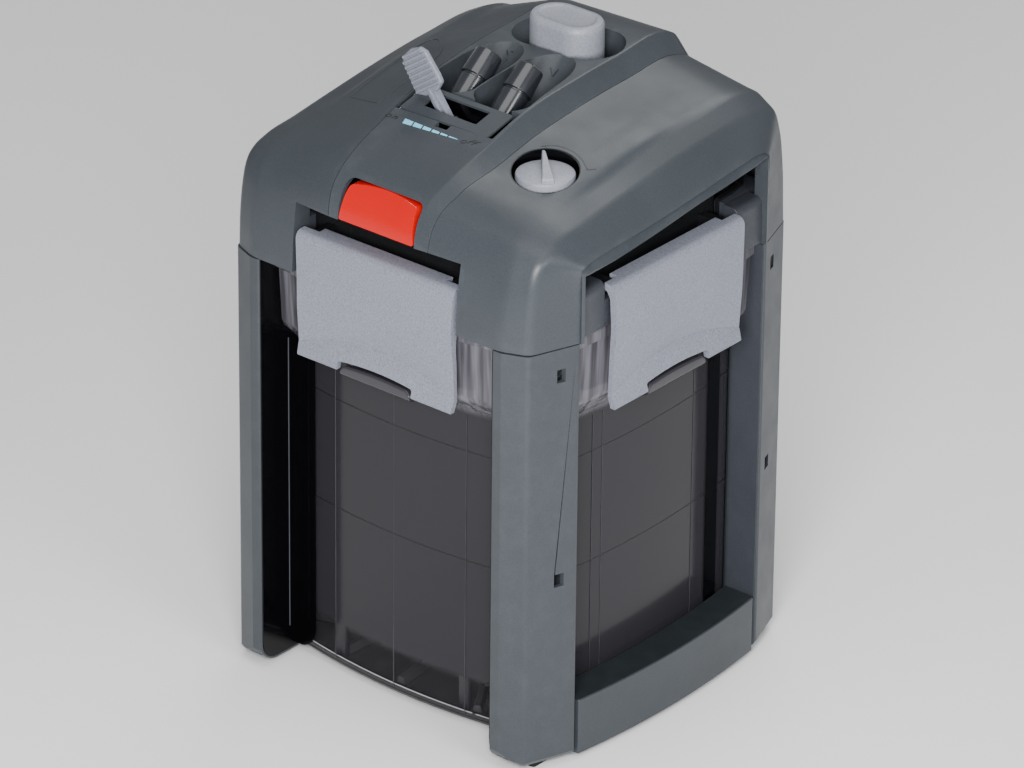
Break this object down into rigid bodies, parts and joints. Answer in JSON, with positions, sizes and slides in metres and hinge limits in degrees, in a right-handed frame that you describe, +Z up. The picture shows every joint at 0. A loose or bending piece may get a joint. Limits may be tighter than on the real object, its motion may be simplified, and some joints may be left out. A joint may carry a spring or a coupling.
{
  "type": "canister filter",
  "caption": "Aquarium canister filter with a clear tank in a post frame, a grey pump head held by clips, hose nozzles with a shut-off lever, a dial and press buttons.",
  "frame": {"origin": "middle of the base, on the surface that the foot pads stand on", "axes": "+Z up, -Y towards the front with the release button, +X to the right seen from the front"},
  "size_m": [0.2452, 0.2406, 0.3814],
  "materials": {
    "housing_grey": "matte",
    "clip_grey": "satin",
    "button_red": "gloss",
    "nozzle_black": "gloss",
    "smoke_clear": "gloss",
    "inner_black": "satin",
    "seal_rubber": "matte",
    "pin_steel": "satin",
    "white_ceramic": "satin",
    "valve_plastic": "satin",
    "coil_block": "matte",
    "basket_grey": "satin",
    "foam_blue": "matte",
    "fleece_white": "matte",
    "media_bed": "matte"
  },
  "bodies": {
    "housing": {"corner_post_front_right": "housing_grey", "corner_post_front_left": "housing_grey", "corner_post_rear_right": "housing_grey", "corner_post_rear_left": "housing_grey", "side_rail_right": "housing_grey", "side_rail_left": "housing_grey", "head_cover": "housing_grey", "centre_cover": "housing_grey", "slot_plate": "housing_grey", "inlet_nozzle": "nozzle_black", "outlet_nozzle": "nozzle_black", "canister_tank": "smoke_clear", "pump_head_body": "inner_black", "pump_head_lid": "inner_black", "hose_adapter_block": "inner_black", "impeller_cover": "inner_black", "riser_duct": "inner_black", "foot_pad_front_right": "seal_rubber", "foot_pad_front_left": "seal_rubber", "foot_pad_rear_right": "seal_rubber", "foot_pad_rear_left": "seal_rubber", "sealing_ring": "seal_rubber", "adapter_seal_inlet": "seal_rubber", "adapter_seal_outlet": "seal_rubber", "shaft_bush_upper": "seal_rubber", "shaft_bush_lower": "seal_rubber", "cable_gland": "seal_rubber", "clip_pin_front": "pin_steel", "clip_pin_right": "pin_steel", "clip_pin_rear": "pin_steel", "clip_pin_left": "pin_steel", "release_spring": "pin_steel", "priming_spring": "pin_steel", "lid_screw_1": "pin_steel", "lid_screw_2": "pin_steel", "lid_screw_3": "pin_steel", "lid_screw_4": "pin_steel", "impeller_shaft": "white_ceramic", "motor_block": "coil_block", "media_basket_lower": "basket_grey", "media_basket_upper": "basket_grey", "prefilter_basket": "basket_grey", "foam_pad": "foam_blue", "fleece_pad": "fleece_white", "media_rings": "media_bed", "media_balls": "media_bed"},
    "clip_front_body": {"clip_front": "clip_grey"},
    "clip_right_body": {"clip_right": "clip_grey"},
    "clip_rear_body": {"clip_rear": "clip_grey"},
    "clip_left_body": {"clip_left": "clip_grey"},
    "lever": {"flow_lever": "clip_grey"},
    "inlet_drum": {"valve_drum_inlet": "valve_plastic"},
    "outlet_drum": {"valve_drum_outlet": "valve_plastic"},
    "button": {"release_button": "button_red"},
    "primer": {"priming_button": "clip_grey", "priming_piston_seal": "seal_rubber"},
    "dial": {"bypass_dial": "clip_grey", "bypass_shutter": "valve_plastic"},
    "impeller": {"impeller_rotor": "inner_black"}
  },
  "joints": [
    {"name": "clip_front_hinge", "type": "hinge", "parent": "housing", "child": "clip_front_body", "pos_m": [0, -0.108, 0.283], "axis": [-1, 0, 0], "range_deg": [0, 75]},
    {"name": "clip_right_hinge", "type": "hinge", "parent": "housing", "child": "clip_right_body", "pos_m": [0.11, 0, 0.283], "axis": [0, -1, 0], "range_deg": [0, 75]},
    {"name": "clip_rear_hinge", "type": "hinge", "parent": "housing", "child": "clip_rear_body", "pos_m": [0, 0.108, 0.283], "axis": [1, 0, 0], "range_deg": [0, 75]},
    {"name": "clip_left_hinge", "type": "hinge", "parent": "housing", "child": "clip_left_body", "pos_m": [-0.11, 0, 0.283], "axis": [0, 1, 0], "range_deg": [0, 75]},
    {"name": "flow_lever_hinge", "type": "hinge", "parent": "housing", "child": "lever", "pos_m": [-0.0085, -0.0385, 0.332], "axis": [0, 1, 0], "range_deg": [0, 70]},
    {"name": "inlet_drum_turn", "type": "hinge", "parent": "housing", "child": "inlet_drum", "pos_m": [-0.02346, -0.017, 0.31324], "axis": [0, 1, 0], "range_deg": [-98.5, 0.5]},
    {"name": "outlet_drum_turn", "type": "hinge", "parent": "housing", "child": "outlet_drum", "pos_m": [0.00646, -0.017, 0.31324], "axis": [0, 1, 0], "range_deg": [-98.5, 0.5]},
    {"name": "release_button_slide", "type": "slide", "parent": "housing", "child": "button", "axis": [0, 1, 0], "range_m": [0, 0.004], "stiffness_N_per_m": 300, "springref_m": -0.004},
    {"name": "priming_button_slide", "type": "slide", "parent": "housing", "child": "primer", "axis": [0, 0, -1], "range_m": [0, 0.016], "stiffness_N_per_m": 150, "springref_m": -0.02, "deforming": ["priming_spring"]},
    {"name": "bypass_dial_turn", "type": "hinge", "parent": "housing", "child": "dial", "pos_m": [0.0635, -0.0485, 0.33], "axis": [0, 0, -1], "range_deg": [0, 90]},
    {"name": "impeller_spin", "type": "hinge", "parent": "housing", "child": "impeller", "pos_m": [0.038, 0.03, 0.26], "axis": [0, 0, 1], "continuous": true}
  ],
  "couplings": [
    {"joint": "inlet_drum_turn", "follows": "flow_lever_hinge", "ratio": -1.4},
    {"joint": "outlet_drum_turn", "follows": "flow_lever_hinge", "ratio": -1.4}
  ]
}
